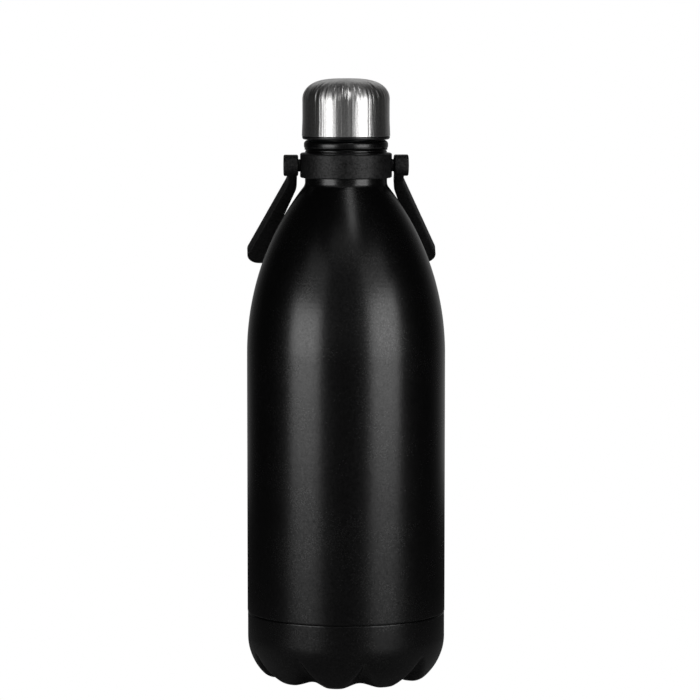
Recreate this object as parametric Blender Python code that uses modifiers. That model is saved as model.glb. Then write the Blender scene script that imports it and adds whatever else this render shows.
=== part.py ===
"""Insulated two-litre water bottle: a double-walled steel flask with a lobed base cup, a threaded
stopper under a brushed steel cap, and a plastic neck collar that carries a swinging handle.

Units are metres. The origin is on the bottle's axis, in the plane that its feet rest on, with +Z up.
The handle's pivots lie along X, and the handle is folded down behind the bottle, towards +Y.
"""

import math

import bmesh
import bpy
from mathutils import Matrix

MM = 0.001

# Flask, outside
BODY_RADIUS = 57.5 * MM
SHELL_WALL = 0.6 * MM
SEAM_Z = 39.0 * MM
SHOULDER_START_Z = 190.0 * MM
SHOULDER_RADIUS = 158.0 * MM
SHOULDER_SLOPE = math.radians(37)
NECK_RADIUS = 23.8 * MM
NECK_SEAT_RADIUS = 22.4 * MM
NECK_FILLET = 7.0 * MM
MOUTH_Z = 313.5 * MM
LIP_RADIUS = 24.35 * MM
SPIGOT_RADIUS = 56.3 * MM
SPIGOT_END_Z = 22.0 * MM

# Flask, inside
VACUUM_GAP = 2.9 * MM
LINER_WALL = 0.5 * MM
MOUTH_BORE = 20.4 * MM
LINER_END_Z = 34.0 * MM
LINER_FLOOR_Z = 29.6 * MM
OUTER_FLOOR_Z = 25.2 * MM
GETTER_OFFSET = 20.0 * MM

# Screw thread shared by the mouth and the stopper
THREAD_PITCH = 5.0 * MM
THREAD_DEPTH = 1.3 * MM
THREAD_GAP = 0.5 * MM
THREAD_LOW_Z = 296.0 * MM
THREAD_HIGH_Z = 308.5 * MM
THREAD_FADE = 2.0 * MM
THREAD_ROWS_PER_TURN = 6

# Cap and stopper
CAP_RADIUS = 25.2 * MM
CAP_HEM_RADIUS = 25.5 * MM
CAP_TOP_Z = 349.0 * MM
CAP_DOME_HEIGHT = 12.5 * MM
CAP_WALL = 0.5 * MM
CAP_HEM_Z = 315.9 * MM
STOPPER_END_Z = 292.8 * MM
STOPPER_WALL = 2.0 * MM
STOPPER_TOP_Z = 335.5 * MM

# Base cup
LOBES = 9
LOBE_TURN = math.radians(-101.5)
LOBE_ARC = 31.4 * MM
LOBE_START_Z = 25.0 * MM
CUP_RADIUS = 57.3 * MM
CUP_WALL = 0.6 * MM
GROOVE_TOP_Z = 18.0 * MM

# Collar and handle
COLLAR_RADIUS = 26.5 * MM
COLLAR_LOW_Z = 291.8 * MM
COLLAR_HIGH_Z = 306.1 * MM
PIVOT_Z = 298.9 * MM
TRUNNION_RADIUS = 3.65 * MM
TRUNNION_END = 34.0 * MM
BOSS_RADIUS = 6.2 * MM
BOSS_INNER = 27.7 * MM
BOSS_OUTER = 36.1 * MM
HANDLE_THICKNESS = 7.2 * MM
HANDLE_REACH = 82.2 * MM
HANDLE_FOLD = math.radians(45)
GRIP_WIDTH = 12.6 * MM
GRIP_BOW = 1.0 * MM

# Mesh fineness and fits
TURN_STEPS = 32
INNER_STEPS = 24
FIT_GAP = 0.3 * MM
CHORD_ERROR = 0.15 * MM
MERGE = 0.00002


# ---------------------------------------------------------------- helpers

def clear_scene():
    for obj in list(bpy.data.objects):
        bpy.data.objects.remove(obj, do_unlink=True)


def new_collection(name):
    collection = bpy.data.collections.new(name)
    bpy.context.scene.collection.children.link(collection)
    return collection


def material(name, colour, roughness, metallic=0.0):
    made = bpy.data.materials.new(name)
    made.use_nodes = True
    shader = made.node_tree.nodes["Principled BSDF"]
    shader.inputs["Base Color"].default_value = (*colour, 1.0)
    shader.inputs["Roughness"].default_value = roughness
    shader.inputs["Metallic"].default_value = metallic
    return made


def rounded(corners, closed=False):
    """A polyline through corners, each (x, y) or (x, y, radius), with its corners turned into arcs."""
    count = len(corners)
    path = []
    for i, corner in enumerate(corners):
        x, y = corner[:2]
        radius = corner[2] if len(corner) > 2 else 0.0
        if radius == 0.0 or (not closed and i in (0, count - 1)):
            path.append((x, y))
            continue
        before = corners[i - 1]
        after = corners[(i + 1) % count]
        in_angle = math.atan2(y - before[1], x - before[0])
        out_angle = math.atan2(after[1] - y, after[0] - x)
        turn = (out_angle - in_angle + math.pi) % (2 * math.pi) - math.pi
        tangent = radius * math.tan(abs(turn) / 2)
        side = math.copysign(1.0, turn)
        start_x = x - tangent * math.cos(in_angle)
        start_y = y - tangent * math.sin(in_angle)
        centre_x = start_x - side * radius * math.sin(in_angle)
        centre_y = start_y + side * radius * math.cos(in_angle)
        step = min(2 * math.acos(1 - min(1.0, CHORD_ERROR / radius)), math.radians(46))
        steps = math.ceil(abs(turn) / step)
        for k in range(steps + 1):
            heading = in_angle + turn * k / steps
            path.append((centre_x + side * radius * math.sin(heading),
                         centre_y - side * radius * math.cos(heading)))
    return path


def mesh_object(name, mesh, collection, look=None):
    obj = bpy.data.objects.new(name, mesh)
    collection.objects.link(obj)
    if look:
        mesh.materials.append(look)
    return obj


def smooth(mesh, angle=math.radians(35)):
    mesh.shade_smooth()
    mesh.set_sharp_from_angle(angle=angle)


def profile_object(name, path, steps, collection, look, closed=False):
    """The path, as (radius, height) pairs, turned about Z by a Screw modifier."""
    mesh = bpy.data.meshes.new(name)
    count = len(path)
    edges = [(i, i + 1) for i in range(count - 1)]
    if closed:
        edges.append((count - 1, 0))
    mesh.from_pydata([(r, 0.0, z) for r, z in path], edges, [])
    obj = mesh_object(name, mesh, collection, look)
    screw = obj.modifiers.new("Turn", "SCREW")
    screw.steps = steps
    screw.render_steps = steps
    screw.use_merge_vertices = True
    screw.merge_threshold = MERGE
    screw.use_smooth_shade = True
    return obj


def made_mesh(obj):
    """Gives the object the mesh that its modifiers make, so that its points can be moved."""
    graph = bpy.context.evaluated_depsgraph_get()
    mesh = bpy.data.meshes.new_from_object(obj.evaluated_get(graph))
    obj.modifiers.clear()
    obj.data = mesh
    return mesh


def add_wall(obj, thickness, outward=False):
    """Makes a solid wall of an open surface, on the inner side unless outward is set."""
    wall = obj.modifiers.new("Wall", "SOLIDIFY")
    wall.thickness = thickness
    wall.offset = 1.0 if outward else -1.0
    wall.use_even_offset = True


def cylinder(name, radius, x_low, x_high, z, collection, look=None, segments=24):
    """A cylinder along X, from x_low to x_high, at height z."""
    mesh = bpy.data.meshes.new(name)
    shape = bmesh.new()
    place = Matrix.Translation(((x_low + x_high) / 2, 0.0, z)) @ Matrix.Rotation(math.pi / 2, 4, "Y")
    bmesh.ops.create_cone(shape, cap_ends=True, segments=segments, radius1=radius, radius2=radius,
                          depth=abs(x_high - x_low), matrix=place)
    shape.to_mesh(mesh)
    shape.free()
    return mesh_object(name, mesh, collection, look)


def boolean(obj, other, operation):
    other.hide_render = True
    other.display_type = "WIRE"
    cut = obj.modifiers.new(other.name, "BOOLEAN")
    cut.operation = operation
    cut.object = other


# ---------------------------------------------------------------- flask

def shoulder(radius, arc_radius, neck_radius, neck_fillet):
    """The two corners that join a body of this radius to its neck, upper one first."""
    tangent = arc_radius * math.tan(SHOULDER_SLOPE / 2)
    low_z = SHOULDER_START_Z + tangent
    high_z = low_z + (radius - neck_radius) / math.tan(SHOULDER_SLOPE)
    return (neck_radius, high_z, neck_fillet), (radius, low_z, arc_radius)


def outer_shell(collection, look):
    lip_round = 2.3 * MM
    seat_low_z = 296.2 * MM
    cone = NECK_RADIUS - NECK_SEAT_RADIUS
    corners = [
        (MOUTH_BORE + LINER_WALL + FIT_GAP, MOUTH_Z),
        (LIP_RADIUS, MOUTH_Z, lip_round),
        (LIP_RADIUS, MOUTH_Z - 2 * lip_round, lip_round * 0.95),
        (NECK_SEAT_RADIUS, MOUTH_Z - 2.35 * lip_round, 0.9 * MM),
        (NECK_SEAT_RADIUS, seat_low_z),
        (NECK_RADIUS, seat_low_z - cone),
        *shoulder(BODY_RADIUS, SHOULDER_RADIUS, NECK_RADIUS, NECK_FILLET),
        (BODY_RADIUS, SEAM_Z + FIT_GAP, 0.4 * MM),
        (SPIGOT_RADIUS, SEAM_Z + FIT_GAP, 0.2 * MM),
        (SPIGOT_RADIUS, SPIGOT_END_Z),
    ]
    path = rounded(corners)
    obj = profile_object("outer_shell", path, TURN_STEPS, collection, look)
    add_wall(obj, SHELL_WALL)


def thread_crest(x, y, z):
    """1 on the crest of the mouth's thread and 0 in its root, at a point near the thread."""
    turns = z / THREAD_PITCH - math.atan2(y, x) / (2 * math.pi)
    return 0.5 - 0.5 * math.cos(2 * math.pi * turns)


def thread_strength(z):
    """1 along the threaded length, fading to 0 at its two ends."""
    inside = min(z - THREAD_LOW_Z, THREAD_HIGH_Z - z) / THREAD_FADE
    return max(0.0, min(1.0, inside))


def thread_rows():
    """The heights at which a threaded surface needs points, top first."""
    count = round((THREAD_HIGH_Z - THREAD_LOW_Z) / THREAD_PITCH * THREAD_ROWS_PER_TURN)
    step = (THREAD_HIGH_Z - THREAD_LOW_Z) / count
    return [THREAD_HIGH_Z - i * step for i in range(count + 1)]


def cut_thread(mesh, plain_radius, height_of):
    """Moves the points of a plain cylinder of this radius along the thread; height_of takes x, y and z."""
    for vertex in mesh.vertices:
        radius = math.hypot(vertex.co.x, vertex.co.y)
        if abs(radius - plain_radius) > MERGE:
            continue
        grown = (radius + height_of(*vertex.co)) / radius
        vertex.co.x *= grown
        vertex.co.y *= grown


def inner_liner(collection, look):
    """The inner vessel, drawn by its water side, with the mouth's thread pressed into its neck."""
    offset = SHELL_WALL + VACUUM_GAP + LINER_WALL
    body = BODY_RADIUS - offset
    neck_corner, body_corner = shoulder(body, SHOULDER_RADIUS - offset, MOUTH_BORE, 9 * MM)
    above = [(MOUTH_BORE, MOUTH_Z - 0.1 * MM)] + [(MOUTH_BORE, z) for z in thread_rows()]
    below = [above[-1], neck_corner, body_corner, (body, LINER_END_Z)]
    path = above + rounded(below)[1:]
    obj = profile_object("inner_liner", path, INNER_STEPS, collection, look)
    mesh = made_mesh(obj)
    cut_thread(mesh, MOUTH_BORE, lambda x, y, z: -THREAD_DEPTH * thread_strength(z) * thread_crest(x, y, z))
    add_wall(obj, LINER_WALL, outward=True)


def inner_bottom(collection, look):
    """The pressed floor of the inner vessel, butted against the end of its wall."""
    radius = BODY_RADIUS - SHELL_WALL - VACUUM_GAP
    under_z = LINER_FLOOR_Z - LINER_WALL
    corners = [(radius, LINER_END_Z - FIT_GAP), (radius, under_z, 3.5 * MM), (0.0, under_z)]
    obj = profile_object("inner_bottom", rounded(corners), INNER_STEPS, collection, look)
    add_wall(obj, LINER_WALL)


def outer_bottom(collection, cutters, look):
    """The plate welded into the shell's end, with a central dimple and its evacuation hole."""
    radius = SPIGOT_RADIUS - SHELL_WALL - 2 * FIT_GAP
    dimple_z = OUTER_FLOOR_Z + 1.3 * MM
    corners = [
        (0.0, dimple_z),
        (7 * MM, dimple_z, 0.8 * MM),
        (8 * MM, OUTER_FLOOR_Z, 0.8 * MM),
        (radius, OUTER_FLOOR_Z, 1.5 * MM),
        (radius, SPIGOT_END_Z),
    ]
    obj = profile_object("outer_bottom", rounded(corners), INNER_STEPS, collection, look)
    add_wall(obj, SHELL_WALL)
    mesh = bpy.data.meshes.new("evacuation_hole")
    shape = bmesh.new()
    bmesh.ops.create_cone(shape, cap_ends=True, segments=12, radius1=0.8 * MM, radius2=0.8 * MM,
                          depth=6 * MM, matrix=Matrix.Translation((0.0, 0.0, dimple_z)))
    shape.to_mesh(mesh)
    shape.free()
    boolean(obj, mesh_object("evacuation_hole", mesh, cutters), "DIFFERENCE")


def vacuum_parts(collection, looks):
    """What sits in the vacuum space: the radiation foil and the getter in its holder, and the solder
    bead that closes the evacuation hole from outside."""
    foil = BODY_RADIUS - SHELL_WALL - VACUUM_GAP + 1.0 * MM
    low_z, high_z = SEAM_Z + 3 * MM, SHOULDER_START_Z - 2 * MM
    loop = [(foil, high_z), (foil + FIT_GAP, high_z), (foil + FIT_GAP, low_z), (foil, low_z)]
    profile_object("radiation_foil", loop, INNER_STEPS, collection, looks["foil"], closed=True)

    top_z = LINER_FLOOR_Z - LINER_WALL - FIT_GAP
    holder = [(0.0, top_z), (5.6 * MM, top_z, 0.5 * MM), (5.6 * MM, top_z - 1.8 * MM)]
    obj = profile_object("getter_holder", rounded(holder), 16, collection, looks["steel"])
    add_wall(obj, 0.4 * MM)
    obj.location.x = GETTER_OFFSET

    pellet_z = top_z - 0.8 * MM
    pellet = [(0.0, pellet_z), (4.6 * MM, pellet_z), (4.6 * MM, pellet_z - MM), (0.0, pellet_z - MM)]
    obj = profile_object("getter_pellet", pellet, 16, collection, looks["getter"])
    obj.location.x = GETTER_OFFSET

    bead_z = OUTER_FLOOR_Z + 1.3 * MM - SHELL_WALL - FIT_GAP
    bead = [(0.0, bead_z), (3.4 * MM, bead_z), (3.1 * MM, bead_z - 0.8 * MM, 0.6 * MM), (0.0, bead_z - 1.1 * MM)]
    profile_object("vacuum_seal_bead", rounded(bead), 16, collection, looks["solder"])


# ---------------------------------------------------------------- base cup

def along(path, share):
    """The point at this share of a polyline's length."""
    lengths = [math.dist(p, q) for p, q in zip(path, path[1:])]
    left = share * sum(lengths)
    for (x0, y0), (x1, y1), length in zip(path, path[1:], lengths):
        if left <= length + MERGE:
            return x0 + (x1 - x0) * left / length, y0 + (y1 - y0) * left / length
        left -= length
    return path[-1]


def lobe_profile():
    """From the groove's top, over the middle of a lobe and its foot, to the cup's centre."""
    turned_in = math.radians(46)
    start = math.asin((LOBE_START_Z - GROOVE_TOP_Z) / LOBE_ARC)
    side = []
    for i in range(5):
        angle = start + (turned_in - start) * i / 4
        side.append((CUP_RADIUS - LOBE_ARC * (1 - math.cos(angle)), LOBE_START_Z - LOBE_ARC * math.sin(angle)))
    foot = [side[-1], (45.2 * MM, 0.0, 8.3 * MM), (37.5 * MM, 0.0, 3 * MM), (32.5 * MM, 4 * MM, 5 * MM),
            (0.0, 4.6 * MM)]
    return side + rounded(foot)[1:]


def groove_profile(top):
    """From the groove's top, along its valley, to the cup's centre."""
    return rounded([top, (40 * MM, 2.1 * MM, 5 * MM), (31 * MM, 4.0 * MM, 8 * MM), (0.0, 4.6 * MM)])


def base_cup(collection, look):
    """A pressed cup whose lower half is folded into lobes that end in feet."""
    lobe = lobe_profile()
    groove = groove_profile(lobe[0])
    wall = [(CUP_RADIUS, SEAM_Z), (CUP_RADIUS, LOBE_START_Z),
            (CUP_RADIUS - 0.2 * MM, (LOBE_START_Z + GROOVE_TOP_Z) / 2)]
    obj = profile_object("base_cup", wall + lobe, 6 * LOBES, collection, look)
    mesh = made_mesh(obj)
    half = math.pi / LOBES
    lengths = [math.dist(p, q) for p, q in zip(lobe, lobe[1:])]
    for vertex in mesh.vertices:
        x, y, z = vertex.co
        radius = math.hypot(x, y)
        row = min(range(len(lobe)), key=lambda k: math.dist(lobe[k], (radius, z)))
        if radius < MERGE or math.dist(lobe[row], (radius, z)) > MERGE:
            continue
        share = sum(lengths[:row]) / sum(lengths)
        valley = along(groove, share)
        ridge = half * (0.94 - 0.64 * min(1.0, share / 0.3) ** 1.3)
        column = round(math.atan2(y, x) / (half / 3))
        place = (column + 3) % 6 - 3
        offset = (0.0, ridge, (ridge + half) / 2, half)[abs(place)]
        depth = (0.0, 0.0, 0.55, 1.0)[abs(place)]
        azimuth = (column - place) * half / 3 + math.copysign(offset, place)
        radius += (valley[0] - lobe[row][0]) * depth
        vertex.co = (math.cos(azimuth) * radius, math.sin(azimuth) * radius,
                     lobe[row][1] + (valley[1] - lobe[row][1]) * depth)
    add_wall(obj, CUP_WALL)
    obj.rotation_euler.z = LOBE_TURN


# ---------------------------------------------------------------- cap

def cap_shell(collection, look):
    """The drawn steel cap: a superelliptic dome on a skirt that opens a little at its hem."""
    dome_steps = 9
    side_z = CAP_TOP_Z - CAP_DOME_HEIGHT
    dome = []
    for i in range(dome_steps + 1):
        share = math.sin(math.pi / 2 * i / dome_steps)
        dome.append((CAP_RADIUS * share, side_z + CAP_DOME_HEIGHT * max(0.0, 1 - share ** 3.2) ** (1 / 2.1)))
    skirt = [(CAP_RADIUS, CAP_HEM_Z + 8 * MM), (CAP_HEM_RADIUS, CAP_HEM_Z)]
    obj = profile_object("cap_shell", dome + skirt, TURN_STEPS, collection, look)
    add_wall(obj, CAP_WALL)


def stopper(collection, look):
    """The moulded plug: a hollow cup inside the steel cap, a rim that shows below it, and the threaded plug."""
    core = MOUTH_BORE - THREAD_DEPTH - THREAD_GAP
    cup = CAP_RADIUS - CAP_WALL - FIT_GAP
    bore = core - STOPPER_WALL
    rim_z = MOUTH_Z + 0.4 * MM
    rim_top_z = CAP_HEM_Z - FIT_GAP
    seat_z = rim_z + 1.8 * MM
    inside = rounded([
        (0.0, STOPPER_END_Z + STOPPER_WALL),
        (bore, STOPPER_END_Z + STOPPER_WALL),
        (bore, seat_z + 0.8 * MM),
        (cup - STOPPER_WALL, seat_z + 2.8 * MM),
        (cup - STOPPER_WALL, STOPPER_TOP_Z),
        (cup, STOPPER_TOP_Z),
        (cup, rim_top_z),
        (CAP_HEM_RADIUS - 0.15 * MM, rim_top_z),
        (CAP_HEM_RADIUS - 0.15 * MM, rim_z, 1.2 * MM),
        (22.6 * MM, rim_z),
        (22.6 * MM, seat_z),
        (core, seat_z),
    ])
    plug = [(core, z) for z in thread_rows()]
    tip = [(core, STOPPER_END_Z + 1.2 * MM), (core - 1.2 * MM, STOPPER_END_Z), (0.0, STOPPER_END_Z)]
    obj = profile_object("stopper", inside + plug + tip, INNER_STEPS, collection, look)
    mesh = made_mesh(obj)
    cut_thread(mesh, core, lambda x, y, z: THREAD_DEPTH * thread_strength(z) * (1 - thread_crest(x, y, z)))


def stopper_filling(collection, looks):
    """The foam that fills the stopper, the lid over it and the gasket under its rim."""
    core = MOUTH_BORE - THREAD_DEPTH - THREAD_GAP
    cup = CAP_RADIUS - CAP_WALL - FIT_GAP
    seat_z = MOUTH_Z + 2.2 * MM
    narrow = core - STOPPER_WALL - 0.4 * MM
    wide = cup - STOPPER_WALL - 0.4 * MM
    foam = [
        (0.0, STOPPER_TOP_Z - 0.6 * MM),
        (wide, STOPPER_TOP_Z - 0.6 * MM),
        (wide, seat_z + 3.6 * MM),
        (narrow, seat_z + 1.6 * MM),
        (narrow, STOPPER_END_Z + STOPPER_WALL + FIT_GAP),
        (0.0, STOPPER_END_Z + STOPPER_WALL + FIT_GAP),
    ]
    profile_object("insulation_foam", foam, INNER_STEPS, collection, looks["foam"])

    lid_z = STOPPER_TOP_Z + FIT_GAP
    lid_top_z = lid_z + 1.6 * MM
    lid_radius = cup - 0.3 * MM
    lid = [(0.0, lid_top_z), (lid_radius, lid_top_z), (lid_radius, lid_z), (0.0, lid_z)]
    profile_object("stopper_lid", lid, INNER_STEPS, collection, looks["plastic"])

    low_z, high_z = MOUTH_Z + 0.35 * MM, seat_z - 0.5 * MM
    ring = [(core + 0.4 * MM, high_z, 0.3 * MM), (22.2 * MM, high_z, 0.3 * MM),
            (22.2 * MM, low_z, 0.4 * MM), (core + 0.4 * MM, low_z, 0.4 * MM)]
    profile_object("cap_gasket", rounded(ring, closed=True), INNER_STEPS,
                   collection, looks["silicone"], closed=True)


# ---------------------------------------------------------------- collar and handle

def neck_collar(collection, cutters, look):
    """The ring that turns on the neck's seat, with a trunnion on each side for the handle."""
    bore = NECK_SEAT_RADIUS + 0.4 * MM
    skirt_bore = NECK_RADIUS + 0.4 * MM
    cone_top_z = 296.4 * MM
    loop = [
        (bore, COLLAR_HIGH_Z, 0.4 * MM),
        (COLLAR_RADIUS, COLLAR_HIGH_Z, 1.0 * MM),
        (COLLAR_RADIUS, COLLAR_LOW_Z, 0.8 * MM),
        (skirt_bore, COLLAR_LOW_Z),
        (skirt_bore, cone_top_z - (skirt_bore - bore)),
        (bore, cone_top_z),
    ]
    path = rounded(loop, closed=True)
    obj = profile_object("neck_collar", path, TURN_STEPS, collection, look, closed=True)
    inner_end = COLLAR_RADIUS - 1.6 * MM
    for side, label in ((-1, "left"), (1, "right")):
        trunnion = cylinder(f"trunnion_{label}", TRUNNION_RADIUS, side * inner_end, side * TRUNNION_END,
                            PIVOT_Z, cutters)
        boolean(obj, trunnion, "UNION")


def handle_outline():
    """The handle's outline in its own plane, as (x, distance from the pivots) pairs."""
    start = -3 * MM
    inner_reach = HANDLE_REACH - GRIP_WIDTH
    outer = [(33.7 * MM, start), (33.7 * MM, 12.3 * MM, 15 * MM), (58.8 * MM, HANDLE_REACH, 7 * MM)]
    inner = [(28.2 * MM, start), (28.2 * MM, 16.7 * MM, 20 * MM), (43.3 * MM, inner_reach, 8 * MM)]
    right = outer + [(0.0, HANDLE_REACH + GRIP_BOW, 400 * MM)]
    left = [(-corner[0], *corner[1:]) for corner in reversed(outer)]
    inside = [(-corner[0], *corner[1:]) for corner in inner]
    inside += [(0.0, inner_reach + GRIP_BOW, 400 * MM)] + list(reversed(inner))
    return rounded(right + left + inside, closed=True)


def flat_plate(name, outline, thickness, edge, collection):
    """A plate in the XZ plane with rounded edges, hanging below the X axis."""
    curve = bpy.data.curves.new(name, "CURVE")
    curve.dimensions = "2D"
    curve.fill_mode = "BOTH"
    curve.extrude = thickness / 2 - edge
    curve.bevel_depth = edge
    curve.bevel_resolution = 1
    curve.offset = -edge
    spline = curve.splines.new("POLY")
    spline.points.add(len(outline) - 1)
    for point, (x, reach) in zip(spline.points, outline):
        point.co = (x, -reach, 0.0, 1.0)
    spline.use_cyclic_u = True
    drawn = bpy.data.objects.new(name, curve)
    collection.objects.link(drawn)
    graph = bpy.context.evaluated_depsgraph_get()
    mesh = bpy.data.meshes.new_from_object(drawn.evaluated_get(graph))
    bpy.data.objects.remove(drawn)
    shape = bmesh.new()
    shape.from_mesh(mesh)
    bmesh.ops.remove_doubles(shape, verts=shape.verts, dist=MERGE)
    bmesh.ops.transform(shape, matrix=Matrix.Rotation(math.pi / 2, 4, "X"), verts=shape.verts)
    bmesh.ops.recalc_face_normals(shape, faces=shape.faces)
    shape.to_mesh(mesh)
    shape.free()
    return mesh_object(name, mesh, collection)


def carry_handle(collection, cutters, look):
    """A flat loop with a boss at each end, whose blind sockets turn on the collar's trunnions."""
    edge = 0.9 * MM
    obj = flat_plate("carry_handle", handle_outline(), HANDLE_THICKNESS, edge, collection)
    obj.data.materials.append(look)
    pivot = bpy.data.objects.new("handle_pivot", None)
    collection.objects.link(pivot)
    pivot.location.z = PIVOT_Z
    pivot.rotation_euler.x = HANDLE_FOLD
    obj.parent = pivot
    for side, label in ((-1, "left"), (1, "right")):
        boss = cylinder(f"boss_{label}", BOSS_RADIUS, side * BOSS_INNER, side * BOSS_OUTER, 0.0, cutters)
        rim = boss.modifiers.new("Rim", "BEVEL")
        rim.width = edge
        rim.segments = 2
        rim.angle_limit = math.radians(60)
        socket = cylinder(f"socket_{label}", TRUNNION_RADIUS + 0.25 * MM, side * (BOSS_INNER - 2 * MM),
                          side * (TRUNNION_END + 0.4 * MM), 0.0, cutters)
        for helper, operation in ((boss, "UNION"), (socket, "DIFFERENCE")):
            helper.parent = pivot
            boolean(obj, helper, operation)


# ---------------------------------------------------------------- assembly

def main():
    clear_scene()
    bottle = new_collection("insulated_water_bottle")
    cutters = new_collection("cutters")
    looks = {
        "paint": material("black_powder_coat", (0.012, 0.012, 0.013), 0.42),
        "steel": material("satin_steel", (0.55, 0.55, 0.56), 0.35, 1.0),
        "brushed": material("brushed_steel", (0.62, 0.61, 0.60), 0.26, 1.0),
        "plastic": material("black_plastic", (0.02, 0.02, 0.021), 0.55),
        "silicone": material("silicone", (0.5, 0.5, 0.5), 0.6),
        "foam": material("foam", (0.85, 0.84, 0.8), 0.9),
        "foil": material("aluminium_foil", (0.8, 0.8, 0.82), 0.2, 1.0),
        "getter": material("getter_alloy", (0.25, 0.25, 0.26), 0.6, 1.0),
        "solder": material("solder_glass", (0.15, 0.2, 0.2), 0.2),
    }
    outer_shell(bottle, looks["paint"])
    outer_bottom(bottle, cutters, looks["steel"])
    base_cup(bottle, looks["paint"])
    inner_liner(bottle, looks["steel"])
    inner_bottom(bottle, looks["steel"])
    vacuum_parts(bottle, looks)
    cap_shell(bottle, looks["brushed"])
    stopper(bottle, looks["plastic"])
    stopper_filling(bottle, looks)
    neck_collar(bottle, cutters, looks["plastic"])
    carry_handle(bottle, cutters, looks["plastic"])
    for obj in bottle.objects:
        if obj.type == "MESH":
            smooth(obj.data)


main()
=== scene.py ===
"""Looks of the insulated water bottle: fine visual meshes, procedural materials, studio light and camera,
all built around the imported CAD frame. Lengths are in metres."""

import math

import bmesh
import bpy
from mathutils import Matrix, Vector

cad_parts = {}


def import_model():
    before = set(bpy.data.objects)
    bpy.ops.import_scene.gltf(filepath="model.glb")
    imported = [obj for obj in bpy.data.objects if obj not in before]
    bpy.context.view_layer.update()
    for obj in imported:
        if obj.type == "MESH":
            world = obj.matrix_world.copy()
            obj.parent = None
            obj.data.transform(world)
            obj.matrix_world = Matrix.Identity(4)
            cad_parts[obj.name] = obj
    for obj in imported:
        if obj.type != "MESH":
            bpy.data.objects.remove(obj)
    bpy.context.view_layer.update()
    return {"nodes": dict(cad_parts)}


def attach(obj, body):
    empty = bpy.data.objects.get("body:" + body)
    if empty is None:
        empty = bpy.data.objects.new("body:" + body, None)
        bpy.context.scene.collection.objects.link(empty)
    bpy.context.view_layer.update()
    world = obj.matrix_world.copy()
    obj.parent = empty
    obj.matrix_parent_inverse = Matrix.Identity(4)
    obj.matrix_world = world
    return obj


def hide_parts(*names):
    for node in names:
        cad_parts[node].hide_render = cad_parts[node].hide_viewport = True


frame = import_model()

MM = 0.001
ON_AXIS = 1e-7

# Sizes that the shapes below share
BODY_RADIUS = 57.5 * MM
SHOULDER_Z = 190.0 * MM
SHOULDER_ARC = 158.0 * MM
SHOULDER_SLOPE = math.radians(37)
SHEET = 0.5 * MM
SEAM_Z = 39.0 * MM
NECK_RADIUS = 23.75 * MM
SEAT_RADIUS = 22.4 * MM
MOUTH_Z = 313.5 * MM
MOUTH_BORE = 20.4 * MM
THREAD_PITCH = 5.0 * MM
THREAD_DEPTH = 1.3 * MM
THREAD_GAP = 0.5 * MM
THREAD_LOW_Z = 296.0 * MM
THREAD_HIGH_Z = 308.5 * MM
PLUG_RADIUS = MOUTH_BORE - THREAD_DEPTH - THREAD_GAP
CAP_HEM_Z = 315.9 * MM
COLLAR_LOW_Z = 291.8 * MM
COLLAR_HIGH_Z = 306.1 * MM
PIVOT_Z = 298.9 * MM
HANDLE_FOLD = math.radians(45)
HANDLE_REACH = 82.2 * MM
GRIP_WIDTH = 12.6 * MM
GRIP_BOW = 1.0 * MM

LOBES = 9
LOBE_TURN = math.radians(-101.5)
LOBE_ARC = 31.4 * MM
LOBE_START_Z = 25.0 * MM
CUP_RADIUS = 57.3 * MM
GROOVE_TOP_Z = 18.0 * MM
GROOVE_START = math.asin((LOBE_START_Z - GROOVE_TOP_Z) / LOBE_ARC)
LOBE_NARROWING = 20.0 * MM

CAMERA_AZIMUTH = math.radians(-3.0)


# ---------------------------------------------------------------- mesh helpers

def rounded(corners, closed=False, step=math.radians(9)):
    """A polyline through corners, each (x, y) or (x, y, radius), with its corners turned into arcs. The
    larger an arc, the finer its steps."""
    count = len(corners)
    path = []
    for i, corner in enumerate(corners):
        x, y = corner[:2]
        radius = corner[2] if len(corner) > 2 else 0.0
        if radius == 0.0 or (not closed and i in (0, count - 1)):
            path.append((x, y))
            continue
        before, after = corners[i - 1], corners[(i + 1) % count]
        in_angle = math.atan2(y - before[1], x - before[0])
        out_angle = math.atan2(after[1] - y, after[0] - x)
        turn = (out_angle - in_angle + math.pi) % (2 * math.pi) - math.pi
        tangent = radius * math.tan(abs(turn) / 2)
        side = math.copysign(1.0, turn)
        start_x = x - tangent * math.cos(in_angle)
        start_y = y - tangent * math.sin(in_angle)
        centre_x = start_x - side * radius * math.sin(in_angle)
        centre_y = start_y + side * radius * math.cos(in_angle)
        finest = 0.24 / math.sqrt(radius / MM)
        steps = max(2, math.ceil(abs(turn) / min(step, finest)))
        for k in range(steps + 1):
            heading = in_angle + turn * k / steps
            path.append((centre_x + side * radius * math.sin(heading),
                         centre_y - side * radius * math.cos(heading)))
    return path


def spaced(path, longest):
    """The path with extra points: no step is longer than this, and each long stretch has a point near both
    of its ends, so that the shading of a rounded edge stays at the edge."""
    hold = 0.5 * MM
    out = [path[0]]
    for (x0, y0), (x1, y1) in zip(path, path[1:]):
        length = math.dist((x0, y0), (x1, y1))
        parts = max(1, math.ceil(length / longest))
        shares = [k / parts for k in range(1, parts + 1)]
        if length > 3 * hold:
            shares = sorted(set(shares + [hold / length, 1 - hold / length]))
        out += [(x0 + (x1 - x0) * share, y0 + (y1 - y0) * share) for share in shares]
    return out


def offset_path(path, distance):
    """The path moved sideways, to its right when distance is positive."""
    moved = []
    for i, (x, y) in enumerate(path):
        ax, ay = path[max(0, i - 1)]
        bx, by = path[min(len(path) - 1, i + 1)]
        length = math.hypot(bx - ax, by - ay)
        moved.append((x + (by - ay) / length * distance, y - (bx - ax) / length * distance))
    return moved


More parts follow.
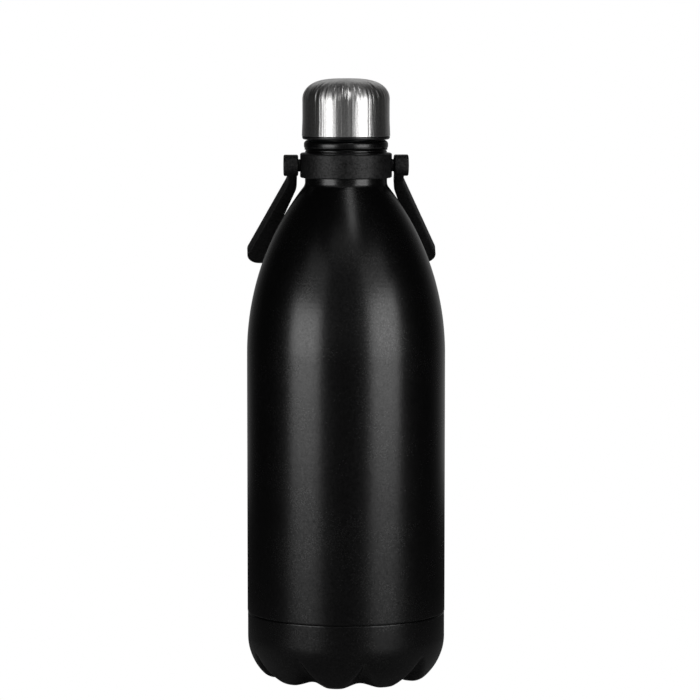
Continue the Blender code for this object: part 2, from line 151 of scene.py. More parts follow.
def add_object(name, shape, look, smooth_angle=50):
    bmesh.ops.recalc_face_normals(shape, faces=shape.faces)
    mesh = bpy.data.meshes.new(name)
    shape.to_mesh(mesh)
    shape.free()
    mesh.shade_smooth()
    mesh.set_sharp_from_angle(angle=math.radians(smooth_angle))
    mesh.materials.append(look)
    obj = bpy.data.objects.new(name, mesh)
    bpy.context.scene.collection.objects.link(obj)
    return obj


def skin(shape, rings, closed=False):
    """Faces between neighbouring rings of points; a ring of one point is a tip."""
    pairs = list(zip(rings, rings[1:]))
    if closed:
        pairs.append((rings[-1], rings[0]))
    for above, below in pairs:
        count = max(len(above), len(below))
        for k in range(count):
            n = (k + 1) % count
            if len(above) == 1:
                shape.faces.new((above[0], below[k], below[n]))
            elif len(below) == 1:
                shape.faces.new((above[k], below[0], above[n]))
            else:
                shape.faces.new((above[k], below[k], below[n], above[n]))


def lathe(name, path, segments, look, closed=False, move=None, smooth_angle=50):
    """The path of (radius, height) points turned about Z. move takes and returns (radius, angle, height)."""
    shape = bmesh.new()
    rings = []
    for radius, height in path:
        if radius < ON_AXIS:
            rings.append([shape.verts.new((0.0, 0.0, height))])
            continue
        ring = []
        for k in range(segments):
            angle = 2 * math.pi * k / segments
            r, a, z = move(radius, angle, height) if move else (radius, angle, height)
            ring.append(shape.verts.new((r * math.cos(a), r * math.sin(a), z)))
        rings.append(ring)
    skin(shape, rings, closed)
    return add_object(name, shape, look, smooth_angle)


def cylinder_x(name, x_start, x_end, z, size, edge, look, segments=64):
    """A cylinder along X with this radius and rounded ends."""
    side = 1 if x_end > x_start else -1
    length = abs(x_end - x_start)
    path = rounded([(0.0, 0.0), (size, 0.0, edge), (size, length, edge), (0.0, length)])
    shape = bmesh.new()
    rings = []
    for radius, inward in path:
        x = x_start + side * inward
        if radius < ON_AXIS:
            rings.append([shape.verts.new((x, 0.0, z))])
            continue
        rings.append([shape.verts.new((x, radius * math.sin(2 * math.pi * k / segments),
                                       z + radius * math.cos(2 * math.pi * k / segments)))
                      for k in range(segments)])
    skin(shape, rings)
    return add_object(name, shape, look)


def join_solids(target, others, operation="UNION"):
    """Unites or cuts solids with the target and drops them."""
    for other in others:
        change = target.modifiers.new("join", "BOOLEAN")
        change.operation = operation
        change.solver = "EXACT"
        change.object = other
    graph = bpy.context.evaluated_depsgraph_get()
    mesh = bpy.data.meshes.new_from_object(target.evaluated_get(graph))
    target.modifiers.clear()
    target.data = mesh
    mesh.shade_smooth()
    mesh.set_sharp_from_angle(angle=math.radians(38))
    for other in others:
        bpy.data.objects.remove(other)


# ---------------------------------------------------------------- material helpers

class Nodes:
    """Short calls for building a material's node tree."""

    def __init__(self, name):
        self.material = bpy.data.materials.new(name)
        self.material.use_nodes = True
        self.tree = self.material.node_tree
        self.shader = self.tree.nodes["Principled BSDF"]
        self.coords = self.add("ShaderNodeTexCoord").outputs["Object"]

    def add(self, kind, **settings):
        node = self.tree.nodes.new(kind)
        for key, value in settings.items():
            setattr(node, key, value)
        return node

    def link(self, out, into):
        self.tree.links.new(out, into)

    def math(self, operation, a, b=None, c=None):
        node = self.add("ShaderNodeMath", operation=operation)
        for socket, value in zip(node.inputs, (a, b, c)):
            if value is None:
                continue
            if isinstance(value, (int, float)):
                socket.default_value = value
            else:
                self.link(value, socket)
        return node.outputs[0]

    def noise(self, vector, scale, detail=3.0, roughness=0.55):
        node = self.add("ShaderNodeTexNoise")
        node.inputs["Scale"].default_value = scale
        node.inputs["Detail"].default_value = detail
        node.inputs["Roughness"].default_value = roughness
        self.link(vector, node.inputs["Vector"])
        return node.outputs["Fac"]

    def spread(self, value, low, high, from_low=0.3, from_high=0.7):
        node = self.add("ShaderNodeMapRange")
        node.inputs["From Min"].default_value = from_low
        node.inputs["From Max"].default_value = from_high
        node.inputs["To Min"].default_value = low
        node.inputs["To Max"].default_value = high
        self.link(value, node.inputs["Value"])
        return node.outputs["Result"]

    def tint(self, value, dark, light):
        node = self.add("ShaderNodeMix", data_type="RGBA")
        node.inputs[6].default_value = (*dark, 1.0)
        node.inputs[7].default_value = (*light, 1.0)
        self.link(value, node.inputs["Factor"])
        return node.outputs[2]

    def bump(self, height, strength, distance, below=None):
        node = self.add("ShaderNodeBump")
        node.inputs["Strength"].default_value = strength
        node.inputs["Distance"].default_value = distance
        self.link(height, node.inputs["Height"])
        if below:
            self.link(below, node.inputs["Normal"])
        return node.outputs["Normal"]

    def around(self, around_scale, up_scale):
        """Coordinates on a turned surface: the direction around Z and the height, each times its scale."""
        split = self.add("ShaderNodeSeparateXYZ")
        self.link(self.coords, split.inputs[0])
        angle = self.math("ARCTAN2", split.outputs[1], split.outputs[0])
        joined = self.add("ShaderNodeCombineXYZ")
        for index, source in enumerate((self.math("COSINE", angle), self.math("SINE", angle))):
            self.link(self.math("MULTIPLY", source, around_scale), joined.inputs[index])
        self.link(self.math("MULTIPLY", split.outputs[2], up_scale), joined.inputs[2])
        return joined.outputs[0]

    def set(self, **values):
        for key, value in values.items():
            socket = self.shader.inputs[key.replace("_", " ").title().replace("Ior", "IOR")]
            if isinstance(value, (int, float)):
                socket.default_value = value
            elif isinstance(value, tuple):
                socket.default_value = (*value, 1.0)
            else:
                self.link(value, socket)


def powder_coat():
    n = Nodes("powder_coat")
    grain = n.noise(n.coords, 1000, 2, 0.7)
    cloud = n.noise(n.coords, 45, 3)
    n.set(base_color=n.tint(n.spread(grain, 0, 1), (0.0005, 0.0005, 0.0006), (0.0018, 0.0018, 0.0019)),
          roughness=n.math("ADD", n.spread(cloud, 0.24, 0.27), n.spread(grain, -0.02, 0.02)),
          specular_ior_level=n.spread(grain, 0.34, 0.66))
    n.set(normal=n.bump(grain, 0.18, 0.00005))
    return n.material


def grained_plastic():
    n = Nodes("grained_plastic")
    grain = n.noise(n.coords, 850, 3, 0.7)
    n.set(base_color=n.tint(n.spread(grain, 0, 1), (0.001, 0.001, 0.0011), (0.004, 0.004, 0.0042)),
          roughness=n.spread(grain, 0.44, 0.54), specular_ior_level=n.spread(grain, 0.15, 0.6))
    n.set(normal=n.bump(grain, 0.6, 0.00015))
    return n.material


def rim_plastic():
    n = Nodes("rim_plastic")
    cloud = n.noise(n.coords, 300, 3)
    n.set(base_color=n.tint(n.spread(cloud, 0, 1), (0.0015, 0.0015, 0.0016), (0.003, 0.003, 0.0032)),
          roughness=n.spread(cloud, 0.28, 0.36))
    n.set(normal=n.bump(n.noise(n.coords, 1500, 2), 0.12, 0.00005))
    return n.material


def brushed_cap():
    """Steel brushed around its axis, which draws its highlights out up and down. Fine polishing marks run
    down the skirt and fan out over the dome."""
    n = Nodes("brushed_cap_steel")
    lines = n.noise(n.around(1.2, 9000), 1.0, 3, 0.6)
    marks = n.noise(n.around(14, 5), 1.0, 2, 0.6)
    fine = n.noise(n.around(50, 8), 1.0, 1, 0.6)
    grain = n.noise(n.coords, 850, 2, 0.7)
    tangent = n.add("ShaderNodeTangent", direction_type="RADIAL", axis="Z")
    n.set(base_color=n.tint(n.spread(grain, 0, 1), (0.5, 0.497, 0.492), (0.68, 0.676, 0.67)),
          metallic=0.96, anisotropic=0.93, anisotropic_rotation=0.25,
          roughness=n.math("ADD", n.spread(marks, 0.27, 0.32), n.spread(lines, 0.0, 0.03)))
    n.link(tangent.outputs[0], n.shader.inputs["Tangent"])
    ridges = n.math("ADD", n.math("MULTIPLY", marks, 0.5), n.math("MULTIPLY", fine, 0.5))
    n.set(normal=n.bump(lines, 0.06, 0.00002, n.bump(ridges, 0.38, 0.0005)))
    return n.material


def plain_steel():
    n = Nodes("plain_steel")
    lines = n.noise(n.around(2, 5000), 1.0, 3)
    n.set(base_color=n.tint(n.spread(lines, 0, 1), (0.5, 0.5, 0.5), (0.62, 0.62, 0.62)),
          metallic=1.0, roughness=n.spread(lines, 0.28, 0.38))
    n.set(normal=n.bump(lines, 0.1, 0.00003))
    return n.material


def silicone():
    n = Nodes("silicone_ring")
    cloud = n.noise(n.coords, 400, 3)
    n.set(base_color=n.tint(n.spread(cloud, 0, 1), (0.5, 0.51, 0.51), (0.62, 0.63, 0.63)),
          roughness=n.spread(cloud, 0.45, 0.58), subsurface_weight=0.15)
    n.set(normal=n.bump(cloud, 0.1, 0.0001))
    return n.material


def hidden_material(name, dark, light, metallic, roughness, scale):
    n = Nodes(name)
    cloud = n.noise(n.coords, scale, 4)
    n.set(base_color=n.tint(n.spread(cloud, 0, 1), dark, light), metallic=metallic,
          roughness=n.spread(cloud, roughness - 0.06, roughness + 0.06))
    n.set(normal=n.bump(cloud, 0.3, 0.0002))
    return n.material


# ---------------------------------------------------------------- flask

def flask_shell(look):
    """The outer vessel: lip bead, grooved neck, long shoulder arc, body and the seam to the base cup."""
    lip = 24.35 * MM
    bead = 2.3 * MM
    step = 56.3 * MM
    shoulder_z = SHOULDER_Z + SHOULDER_ARC * math.tan(SHOULDER_SLOPE / 2)
    corners = [
        (MOUTH_BORE + 0.8 * MM, MOUTH_Z),
        (lip, MOUTH_Z, bead),
        (lip, MOUTH_Z - 2 * bead, bead * 0.95),
        (SEAT_RADIUS, MOUTH_Z - 2.45 * bead, 1.3 * MM),
        (NECK_RADIUS, 306.5 * MM, 0.9 * MM),
        (NECK_RADIUS, 305.6 * MM, 0.3 * MM),
        (SEAT_RADIUS, 304.6 * MM, 0.3 * MM),
        (SEAT_RADIUS, 296.2 * MM, 0.3 * MM),
        (NECK_RADIUS, 294.6 * MM, 0.3 * MM),
        (NECK_RADIUS, shoulder_z + (BODY_RADIUS - NECK_RADIUS) / math.tan(SHOULDER_SLOPE), 4.5 * MM),
        (BODY_RADIUS, shoulder_z, SHOULDER_ARC),
        (BODY_RADIUS, SEAM_Z + 0.35 * MM, 0.5 * MM),
        (step, SEAM_Z + 0.35 * MM, 0.1 * MM),
        (step, 22 * MM),
    ]
    outside = spaced(rounded(corners), 8 * MM)
    inside = offset_path(outside, SHEET)
    return lathe("flask_shell", outside + inside[::-1], 224, look, closed=True)


def thread_strength(z):
    """1 along the threaded length, fading to 0 at its two ends."""
    return max(0.0, min(1.0, min(z - THREAD_LOW_Z, THREAD_HIGH_Z - z) / (2 * MM)))


def thread_crest(angle, z):
    """1 on the crest of the mouth's thread and 0 in its root."""
    wave = 0.5 - 0.5 * math.cos(2 * math.pi * (z / THREAD_PITCH - angle / (2 * math.pi)))
    return wave * wave * (3 - 2 * wave)


def thread_rows(rows=40):
    """The heights of a threaded surface's points, top first."""
    return [THREAD_HIGH_Z + (THREAD_LOW_Z - THREAD_HIGH_Z) * k / rows for k in range(rows + 1)]


def liner(look):
    """The inner vessel with the mouth's thread pressed into its neck."""
    offset = 4.0 * MM
    body = BODY_RADIUS - offset
    arc = SHOULDER_ARC - offset
    shoulder_z = SHOULDER_Z + arc * math.tan(SHOULDER_SLOPE / 2)
    neck = [(MOUTH_BORE, MOUTH_Z - 0.1 * MM)] + [(MOUTH_BORE, z) for z in thread_rows()]
    neck_z = shoulder_z + (body - MOUTH_BORE) / math.tan(SHOULDER_SLOPE)
    rest = rounded([neck[-1], (MOUTH_BORE, neck_z, 9 * MM), (body, shoulder_z, arc), (body, 34 * MM)])
    water_side = neck + spaced(rest, 12 * MM)[1:]
    outer_side = [(radius + SHEET, z) for radius, z in water_side]

    def press(radius, angle, z):
        if abs(z - (THREAD_LOW_Z + THREAD_HIGH_Z) / 2) < 6.3 * MM and radius < MOUTH_BORE + MM:
            radius -= THREAD_DEPTH * thread_strength(z) * thread_crest(angle, z)
        return radius, angle, z

    return lathe("liner_vessel", water_side + outer_side[::-1], 128, look, closed=True, move=press)


# ---------------------------------------------------------------- base cup

def along(path, share):
    """The point at this share of the path's length."""
    lengths = [math.dist(p, q) for p, q in zip(path, path[1:])]
    left = share * sum(lengths)
    for (x0, y0), (x1, y1), length in zip(path, path[1:], lengths):
        if left <= length + 1e-9:
            return x0 + (x1 - x0) * left / length, y0 + (y1 - y0) * left / length
        left -= length
    return path[-1]


def corner_point(angle):
    """The point of the cup's rounded corner where it has turned in by this angle."""
    return CUP_RADIUS - LOBE_ARC * (1 - math.cos(angle)), LOBE_START_Z - LOBE_ARC * math.sin(angle)


def lobe_profile():
    """The section through the middle of a lobe, from the grooves' tops in to the cup's centre."""
    turned_in = math.radians(46)
    steps = 16
    side = [corner_point(GROOVE_START + (turned_in - GROOVE_START) * i / steps) for i in range(steps + 1)]
    foot = [side[-1], (45.2 * MM, 0.0, 8.3 * MM), (37.5 * MM, 0.0, 3 * MM), (32.5 * MM, 4 * MM, 5 * MM),
            (0.0, 4.6 * MM)]
    return side + spaced(rounded(foot), 1.5 * MM)[1:]


def base_cup(look):
    """The lower cup: a rounded corner folded into lobes, whose crests narrow to foot_share at the feet. The
    flanks between crest and groove are softened at both ends and steeper towards the feet."""
    lobe = lobe_profile()
    groove = rounded([lobe[0], (40 * MM, 2.1 * MM, 5 * MM), (31 * MM, 4.0 * MM, 8 * MM), (0.0, 4.6 * MM)])
    half = math.pi / LOBES
    flank_soft, floor_soft, flank_rise = 2.4 * MM, 0.18, 0.25
    foot_share, bend = 0.3, 1.3
    lengths = [0.0]
    for p, q in zip(lobe, lobe[1:]):
        lengths.append(lengths[-1] + math.dist(p, q))
    shares = {p: length / lengths[-1] for p, length in zip(lobe, lengths)}

    def fold(radius, angle, z):
        share = shares.get((radius, z))
        if not share:
            return radius, angle, z
        valley = along(groove, share)
        down = min(1.0, share * lengths[-1] / LOBE_NARROWING)
        ridge = half * (1.0 - (1.0 - foot_share) * down ** bend)
        turn = (angle - LOBE_TURN) / half
        offset = abs((turn + 1) % 2 - 1) * half
        across = (offset - ridge) / (half - ridge) * (1 + flank_rise * down)
        soft = flank_soft / (radius * (half - ridge) + MM)
        depth = (across + math.hypot(across, soft)) / 2
        depth = 1 - (1 - depth + math.hypot(1 - depth, floor_soft)) / 2
        depth = max(0.0, depth * (1 + floor_soft / 2))
        return radius + (valley[0] - radius) * depth, angle, max(0.0, z + (valley[1] - z) * depth)

    upper = rounded([(56.7 * MM, SEAM_Z), (CUP_RADIUS, SEAM_Z, 0.6 * MM), (CUP_RADIUS, LOBE_START_Z)])
    steps = 8
    turn_in = [corner_point(GROOVE_START * i / steps) for i in range(1, steps)]
    outside = spaced(upper, 3 * MM) + turn_in + lobe
    obj = lathe("base_cup_lobed", outside[1:], 40 * LOBES, look, move=fold, smooth_angle=60)
    wall = obj.modifiers.new("wall", "SOLIDIFY")
    wall.thickness = 0.6 * MM
    wall.offset = -1
    return obj


# ---------------------------------------------------------------- cap

def cap_dome(look):
    """The drawn steel cap. Faint flutes from drawing and polishing fan out over the dome's shoulder, which
    has a small raised mark at the front."""
    radius, top, height = 25.2 * MM, 349.0 * MM, 12.5 * MM
    squareness, roundness, dome_steps = 3.2, 2.1, 56
    flute_depth, skirt_depth = 0.22 * MM, 0.012 * MM
    flute_start, flute_fade = 13 * MM, 9 * MM
    mark_angle, mark_z, mark_rise = math.radians(-90.2), 343.2 * MM, 0.8 * MM
    mark_width, mark_height = 0.065, 2.8 * MM
    dome = []
    for i in range(dome_steps + 1):
        share = math.sin(math.pi / 2 * i / dome_steps)
        rise = max(0.0, 1 - share ** squareness) ** (1 / roundness)
        dome.append((radius * share, top - height + height * rise))
    hem = rounded([dome[-1], (radius, CAP_HEM_Z + 9 * MM, 60 * MM), (25.55 * MM, CAP_HEM_Z, 0.25 * MM),
                   (24.9 * MM, CAP_HEM_Z)])
    outside = dome + spaced(hem, 3 * MM)[1:]
    inside = [(max(0.0, r - SHEET), z - SHEET) for r, z in dome[1:]]
    inside += [(24.7 * MM, CAP_HEM_Z + 12 * MM), (24.9 * MM, CAP_HEM_Z + 0.3 * MM)]

    def flute(r, angle, z):
        wave = sum(math.cos(n * angle + n * n) for n in (13, 19, 29, 37, 53)) / 5
        on_dome = max(0.0, min(1.0, (z - (top - height - 2 * MM)) / (5 * MM)))
        outer = max(0.0, min(1.0, (r - flute_start) / flute_fade))
        depth = wave * (skirt_depth + (flute_depth - skirt_depth) * on_dome) * outer
        from_mark = (angle - mark_angle + math.pi) % (2 * math.pi) - math.pi
        depth -= mark_rise * math.exp(-(from_mark / mark_width) ** 2 - ((z - mark_z) / mark_height) ** 2)
        return r - depth, angle, z - depth * on_dome

    return lathe("cap_dome", outside + inside[::-1] + [(0.0, top - SHEET)], 480, look, move=flute)


def stopper(look):
    """The moulded plug: a cup inside the steel cap, a rim that shows below it, and the threaded plug."""
    core, wall = PLUG_RADIUS, 2 * MM
    cup_outer, cup_top = 24.4 * MM, 335.5 * MM
    cup_inner = cup_outer - wall
    rim, rim_z, rim_top = 25.35 * MM, MOUTH_Z + 0.4 * MM, CAP_HEM_Z - 0.15 * MM
    recess, recess_z = 22.6 * MM, MOUTH_Z + 2.2 * MM
    end_z = 292.8 * MM
    inside = rounded([
        (0.0, end_z + wall), (core - wall, end_z + wall), (core - wall, 316.5 * MM), (cup_inner, 318.5 * MM),
        (cup_inner, cup_top), (cup_outer, cup_top), (cup_outer, rim_top), (rim, rim_top, 0.3 * MM),
        (rim, rim_z, 1.3 * MM), (recess, rim_z), (recess, recess_z), (core, recess_z, 0.4 * MM),
        (core, THREAD_HIGH_Z + 0.5 * MM),
    ])
    tip = rounded([(core, 295 * MM), (core, end_z, 1.4 * MM), (0.0, end_z)])
    path = inside + [(core, z) for z in thread_rows()] + tip

    def raise_thread(radius, angle, z):
        if THREAD_LOW_Z < z < THREAD_HIGH_Z and abs(radius - core) < 1e-5:
            radius += THREAD_DEPTH * thread_strength(z) * (1 - thread_crest(angle, z))
        return radius, angle, z

    return lathe("stopper_plug", path, 128, look, move=raise_thread)


def gasket(look):
    """The silicone ring between the stopper's rim and the lip."""
    low, high = MOUTH_Z + 0.35 * MM, MOUTH_Z + 1.7 * MM
    inner, outer = PLUG_RADIUS + 0.4 * MM, 22.2 * MM
    ring = rounded([(inner, high, 0.35 * MM), (outer, high, 0.35 * MM),
                    (outer, low, 0.45 * MM), (inner, low, 0.45 * MM)], closed=True)
    return lathe("gasket_ring", ring, 128, look, closed=True)


# ---------------------------------------------------------------- collar and handle

def collar(look):
    """The ring that turns in the neck's seat, with a pin on each side for the handle."""
    radius, low, high = 26.55 * MM, COLLAR_LOW_Z, COLLAR_HIGH_Z
    loop = rounded([
        (24.3 * MM, high, 0.5 * MM), (radius, high, 1.1 * MM), (radius, low, 0.9 * MM),
        (24.2 * MM, low, 0.4 * MM), (24.2 * MM, 295.4 * MM, 0.3 * MM), (22.8 * MM, 296.8 * MM, 0.3 * MM),
        (22.8 * MM, 304.0 * MM, 0.3 * MM), (24.3 * MM, 305.3 * MM, 0.3 * MM),
    ], closed=True)
    ring = lathe("neck_collar_ring", loop, 192, look, closed=True)
    pins = [cylinder_x(f"pin_{side}", side * 25.0 * MM, side * 34.0 * MM, PIVOT_Z, 3.6 * MM, 0.4 * MM, look)
            for side in (-1, 1)]
    join_solids(ring, pins)
    return ring


def handle_outline():
    """The flat loop as (x, distance from the pins), running round the outside and back round the opening."""
    start = -3 * MM
    inner_reach = HANDLE_REACH - GRIP_WIDTH
    outer = [(33.7 * MM, start), (33.7 * MM, 12.3 * MM, 15 * MM), (58.8 * MM, HANDLE_REACH, 7 * MM)]
    inner = [(28.2 * MM, start), (28.2 * MM, 16.7 * MM, 20 * MM), (43.3 * MM, inner_reach, 8 * MM)]
    right = outer + [(0.0, HANDLE_REACH + GRIP_BOW, 400 * MM)]
    left = [(-c[0], *c[1:]) for c in reversed(outer)]
    inside = [(-c[0], *c[1:]) for c in inner]
    inside += [(0.0, inner_reach + GRIP_BOW, 400 * MM)] + list(reversed(inner))
    return rounded(right + left + inside, closed=True)


def handle(look):
    """A flat loop with rounded edges and a boss at each end, turned back onto the shoulder."""
    edge, thickness = 1.0 * MM, 7.2 * MM
    curve = bpy.data.curves.new("carry_grip", "CURVE")
    curve.dimensions = "2D"
    curve.fill_mode = "BOTH"
    curve.extrude = thickness / 2 - edge
    curve.bevel_depth = edge
    curve.bevel_resolution = 4
    curve.offset = -edge
    outline = handle_outline()
    spline = curve.splines.new("POLY")
    spline.points.add(len(outline) - 1)
    for point, (x, away) in zip(spline.points, outline):
        point.co = (x, -away, 0.0, 1.0)
    spline.use_cyclic_u = True
    drawn = bpy.data.objects.new("drawn", curve)
    bpy.context.scene.collection.objects.link(drawn)
    mesh = bpy.data.meshes.new_from_object(drawn.evaluated_get(bpy.context.evaluated_depsgraph_get()))
    bpy.data.objects.remove(drawn)
    shape = bmesh.new()
    shape.from_mesh(mesh)
    bmesh.ops.remove_doubles(shape, verts=shape.verts, dist=1e-6)
    bmesh.ops.transform(shape, matrix=Matrix.Rotation(math.pi / 2, 4, "X"), verts=shape.verts)
    grip = add_object("carry_grip", shape, look)
    bosses = [cylinder_x(f"boss_{side}", side * 27.7 * MM, side * 36.1 * MM, 0.0, 6.2 * MM, 0.9 * MM, look)
              for side in (-1, 1)]
    join_solids(grip, bosses)
    sockets = [cylinder_x(f"socket_{side}", side * 26 * MM, side * 34.4 * MM, 0.0, 3.85 * MM, 0.2 * MM, look)
               for side in (-1, 1)]
    join_solids(grip, sockets, "DIFFERENCE")
    grip.data.transform(Matrix.Translation((0, 0, PIVOT_Z)) @ Matrix.Rotation(HANDLE_FOLD, 4, "X"))
    return grip


# ---------------------------------------------------------------- pieces

def dress():
    """Builds the visible pieces on their bodies and gives the CAD nodes that stay their materials."""
    coat, grain, rim = powder_coat(), grained_plastic(), rim_plastic()
    cap_steel, steel, ring = brushed_cap(), plain_steel(), silicone()
    pieces = (
        (flask_shell(coat), "flask", "outer_shell", "powder_coat"),
        (base_cup(coat), "flask", "base_cup", "powder_coat"),
        (liner(steel), "flask", "inner_liner", "raw_steel"),
        (cap_dome(cap_steel), "cap", "cap_shell", "cap_steel"),
        (stopper(rim), "cap", "stopper", "rim_plastic"),
        (gasket(ring), "gasket", "cap_gasket", "silicone"),
        (collar(grain), "collar", "neck_collar", "black_plastic"),
        (handle(grain), "handle", "carry_handle", "black_plastic"),
    )
    for obj, body, node, slot in pieces:
        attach(obj, body)
        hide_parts(node)
    kept = {
        "outer_bottom": steel,
        "inner_bottom": steel,
        "getter_holder": steel,
        "radiation_foil": hidden_material("foil", (0.7, 0.7, 0.72), (0.85, 0.85, 0.87), 1.0, 0.2, 200),
        "getter_pellet": hidden_material("getter", (0.12, 0.12, 0.12), (0.22, 0.22, 0.22), 0.8, 0.6, 1500),
        "vacuum_seal_bead": hidden_material("solder_glass", (0.1, 0.14, 0.14), (0.16, 0.2, 0.2), 0.0, 0.2,
                                            500),
        "insulation_foam": hidden_material("foam", (0.72, 0.7, 0.64), (0.86, 0.84, 0.78), 0.0, 0.9, 900),
        "stopper_lid": grain,
    }
    for node, look in kept.items():
        mesh = frame["nodes"][node].data
        mesh.materials.clear()
        mesh.materials.append(look)


# ---------------------------------------------------------------- studio

def softbox(name, azimuth, elevation, distance, width, height, power, camera, target=(0, 0, 0.2)):
    """An area light at this azimuth from the camera, aimed at the target and fixed to the camera."""
    lamp = bpy.data.lights.new(name, "AREA")
    lamp.shape = "RECTANGLE"
    lamp.size, lamp.size_y = width, height
    lamp.energy = power
    obj = bpy.data.objects.new(name, lamp)
    bpy.context.scene.collection.objects.link(obj)
    a, e = math.radians(azimuth) + CAMERA_AZIMUTH, math.radians(elevation)
    away = Vector((math.sin(a) * math.cos(e), -math.cos(a) * math.cos(e), math.sin(e)))
    obj.location = Vector(target) + away * distance
    obj.rotation_euler = away.to_track_quat("Z", "Y").to_euler()
    obj.visible_camera = False
    obj.parent = camera
    obj.matrix_parent_inverse = camera.matrix_world.inverted()
    return obj


def world():
    """White for the camera. What the bottle reflects is a dark room, fixed to the camera, with a lit wall
    behind the bottle, a bright piece of ceiling over it and a dim front."""
    made = bpy.data.worlds.new("studio")
    made.use_nodes = True
    tree = made.node_tree
    nodes, links = tree.nodes, tree.links

    def math_node(operation, *values):
        node = nodes.new("ShaderNodeMath")
        node.operation = operation
        for socket, value in zip(node.inputs, values):
            if isinstance(value, (int, float)):
                socket.default_value = value
            else:
                links.new(value, socket)
        return node.outputs[0]

    def ramp(value, start, end):
        node = nodes.new("ShaderNodeMapRange")
        node.interpolation_type = "SMOOTHSTEP"
        node.inputs["From Min"].default_value = start
        node.inputs["From Max"].default_value = end
        links.new(value, node.inputs["Value"])
        return node.outputs["Result"]

    backdrop = nodes["Background"]
    backdrop.inputs["Color"].default_value = (1, 1, 1, 1)
    room = nodes.new("ShaderNodeBackground")
    coords = nodes.new("ShaderNodeTexCoord")
    split = nodes.new("ShaderNodeSeparateXYZ")
    links.new(coords.outputs["Camera"], split.inputs[0])
    to_the_right, up, away = split.outputs
    turned = math.radians(6)
    ahead = math_node("MULTIPLY_ADD", away, math.cos(turned),
                      math_node("MULTIPLY", to_the_right, math.sin(turned)))
    wall = math_node("POWER", math_node("MAXIMUM", ahead, 0.0), 6.0)
    sideways = math_node("ABSOLUTE", to_the_right)
    ceiling = math_node("MULTIPLY", ramp(up, 0.3, 0.6), ramp(away, 0.5, 0.8))
    ceiling = math_node("MULTIPLY", ceiling, ramp(sideways, 0.5, 0.3))
    front = math_node("MULTIPLY", ramp(up, -0.2, -0.06), ramp(away, -0.6, -0.9))
    strength = math_node("MULTIPLY_ADD", wall, 0.42, 0.012)
    strength = math_node("MULTIPLY_ADD", ceiling, 1.1, strength)
    links.new(math_node("MULTIPLY_ADD", front, 0.13, strength), room.inputs["Strength"])
    mix = nodes.new("ShaderNodeMixShader")
    path = nodes.new("ShaderNodeLightPath")
    links.new(path.outputs["Is Camera Ray"], mix.inputs[0])
    links.new(room.outputs[0], mix.inputs[1])
    links.new(backdrop.outputs[0], mix.inputs[2])
    links.new(mix.outputs[0], nodes["World Output"].inputs[0])
    bpy.context.scene.world = made


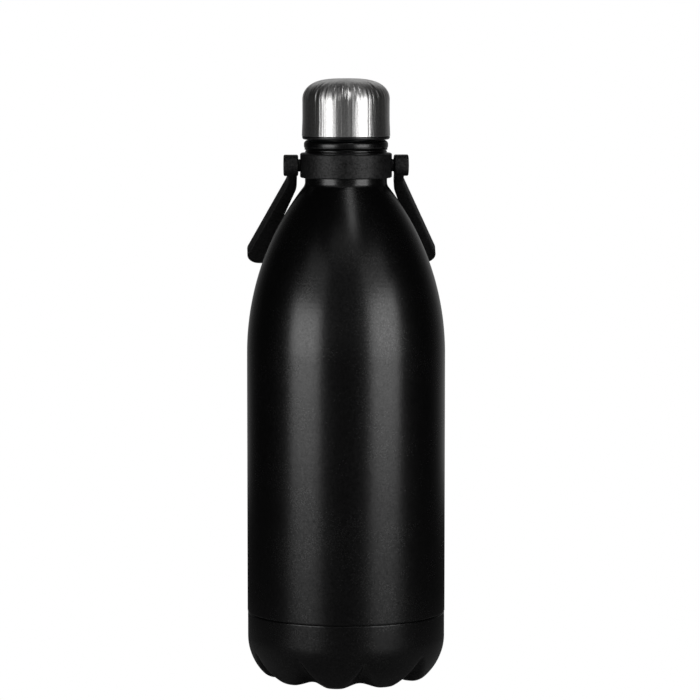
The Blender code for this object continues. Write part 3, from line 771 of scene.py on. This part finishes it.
def floor():
    """White for the camera. The bottle sees a pale patch round it, a painted pool of light that turns into a
    dark floor further out, painted black right under it as a painted contact shadow, and the floor's edge,
    beyond which the room shows. Seen from above, glossy rays also meet painted glowing areas, which stand in
    for the softboxes' light on the floor."""
    shape = bmesh.new()
    bmesh.ops.create_grid(shape, x_segments=1, y_segments=1, size=6.0)
    n = Nodes("pale_floor")
    glow = n.add("ShaderNodeEmission")
    glow.inputs["Strength"].default_value = 1.0
    length = n.add("ShaderNodeVectorMath", operation="LENGTH")
    n.link(n.coords, length.inputs[0])
    radius = length.outputs["Value"]
    path = n.add("ShaderNodeLightPath")
    # Painted pool of light and painted shadow: a pale floor colour round the bottle, dark further out, and
    # black right under it
    painted_pool_and_shadow = n.math("MULTIPLY", n.spread(radius, 0.4, 0.02, 0.06, 0.32),
                  n.spread(radius, 0.0, 1.0, 0.025, 0.05))
    back = n.add("ShaderNodeNewGeometry").outputs["Incoming"]
    turn = n.add("ShaderNodeVectorTransform", vector_type="VECTOR", convert_from="WORLD", convert_to="CAMERA")
    n.link(back, turn.inputs[0])
    world_way, camera_way = n.add("ShaderNodeSeparateXYZ"), n.add("ShaderNodeSeparateXYZ")
    n.link(back, world_way.inputs[0])
    n.link(turn.outputs[0], camera_way.inputs[0])
    sideways = n.math("ABSOLUTE", camera_way.outputs[0])
    # Painted glow: bright spots to both sides, standing in for the softboxes' light on the floor
    painted_light_patches = n.math("MULTIPLY", n.spread(sideways, 0, 1, 0.4, 0.6), n.spread(sideways, 1, 0, 0.75, 0.92))
    painted_light_patches = n.math("MULTIPLY", painted_light_patches, n.spread(camera_way.outputs[2], 0, 1, 0.0, 0.2))
    rise = world_way.outputs[2]
    steep = n.math("MULTIPLY", n.spread(rise, 0, 1, 0.22, 0.32), n.spread(radius, 0, 1, 0.12, 0.22))
    steep = n.math("MULTIPLY", steep, n.spread(rise, 1, 0, 0.6, 0.8))
    # The painted glow, with a dimmer painted glow further out, given to glossy rays only as emission
    painted_glow = n.math("MULTIPLY", n.math("MULTIPLY_ADD", painted_light_patches, 1.6, 0.12), steep)
    n.set(base_color=n.tint(painted_pool_and_shadow, (0, 0, 0), (1, 1, 1)), roughness=0.9, emission_color=(1, 1, 1),
          emission_strength=n.math("MULTIPLY", painted_glow, path.outputs["Is Glossy Ray"]))
    n.material.cycles.emission_sampling = "NONE"
    edge = n.add("ShaderNodeMixShader")
    n.link(n.spread(radius, 0, 1, 0.7, 1.1), edge.inputs[0])
    n.link(n.shader.outputs[0], edge.inputs[1])
    n.link(n.add("ShaderNodeBsdfTransparent").outputs[0], edge.inputs[2])
    mix = n.add("ShaderNodeMixShader")
    n.link(path.outputs["Is Camera Ray"], mix.inputs[0])
    n.link(edge.outputs[0], mix.inputs[1])
    n.link(glow.outputs[0], mix.inputs[2])
    n.link(mix.outputs[0], n.tree.nodes["Material Output"].inputs[0])
    obj = add_object("studio_floor", shape, n.material)
    obj.location.z = -0.0005


def studio_camera():
    """The photo's camera: a long lens a little above the cap's height, looking slightly down."""
    lens = bpy.data.cameras.new("camera")
    lens.lens = 189.1
    lens.sensor_width = 36.0
    lens.clip_end = 100.0
    obj = bpy.data.objects.new("camera", lens)
    bpy.context.scene.collection.objects.link(obj)
    distance, height, pitch, aside = 2.1257, 0.3895, math.radians(5.317), 0.0023
    sine, cosine = math.sin(CAMERA_AZIMUTH), math.cos(CAMERA_AZIMUTH)
    obj.location = (distance * sine + aside * cosine, -distance * cosine + aside * sine, height)
    obj.rotation_euler = (math.pi / 2 - pitch, 0.0, CAMERA_AZIMUTH)
    bpy.context.scene.camera = obj
    bpy.context.view_layer.update()
    return obj


def studio():
    """The lights turn with the camera, as they do round a bottle on a turntable."""
    bpy.context.scene.view_settings.view_transform = "Standard"
    world()
    floor()
    eye = studio_camera()
    # Azimuth and elevation in degrees, distance, width and height in metres, power in watts
    softbox("left_box", -48, 4.7, 1.6, 1.0, 0.71, 8.3, eye)
    softbox("right_box", 45.8, 6.6, 1.6, 1.0, 0.83, 9.8, eye)
    softbox("top_box", 16, 66, 1.5, 0.22, 0.8, 1.3, eye)
    softbox("ceiling_box", 0, 46, 1.5, 1.0, 0.35, 0.3, eye)
    softbox("left_spill", -42, 29, 1.6, 0.8, 0.5, 0.6, eye)
    softbox("right_spill", 40, 30, 1.6, 0.9, 0.5, 0.85, eye)


dress()
studio()
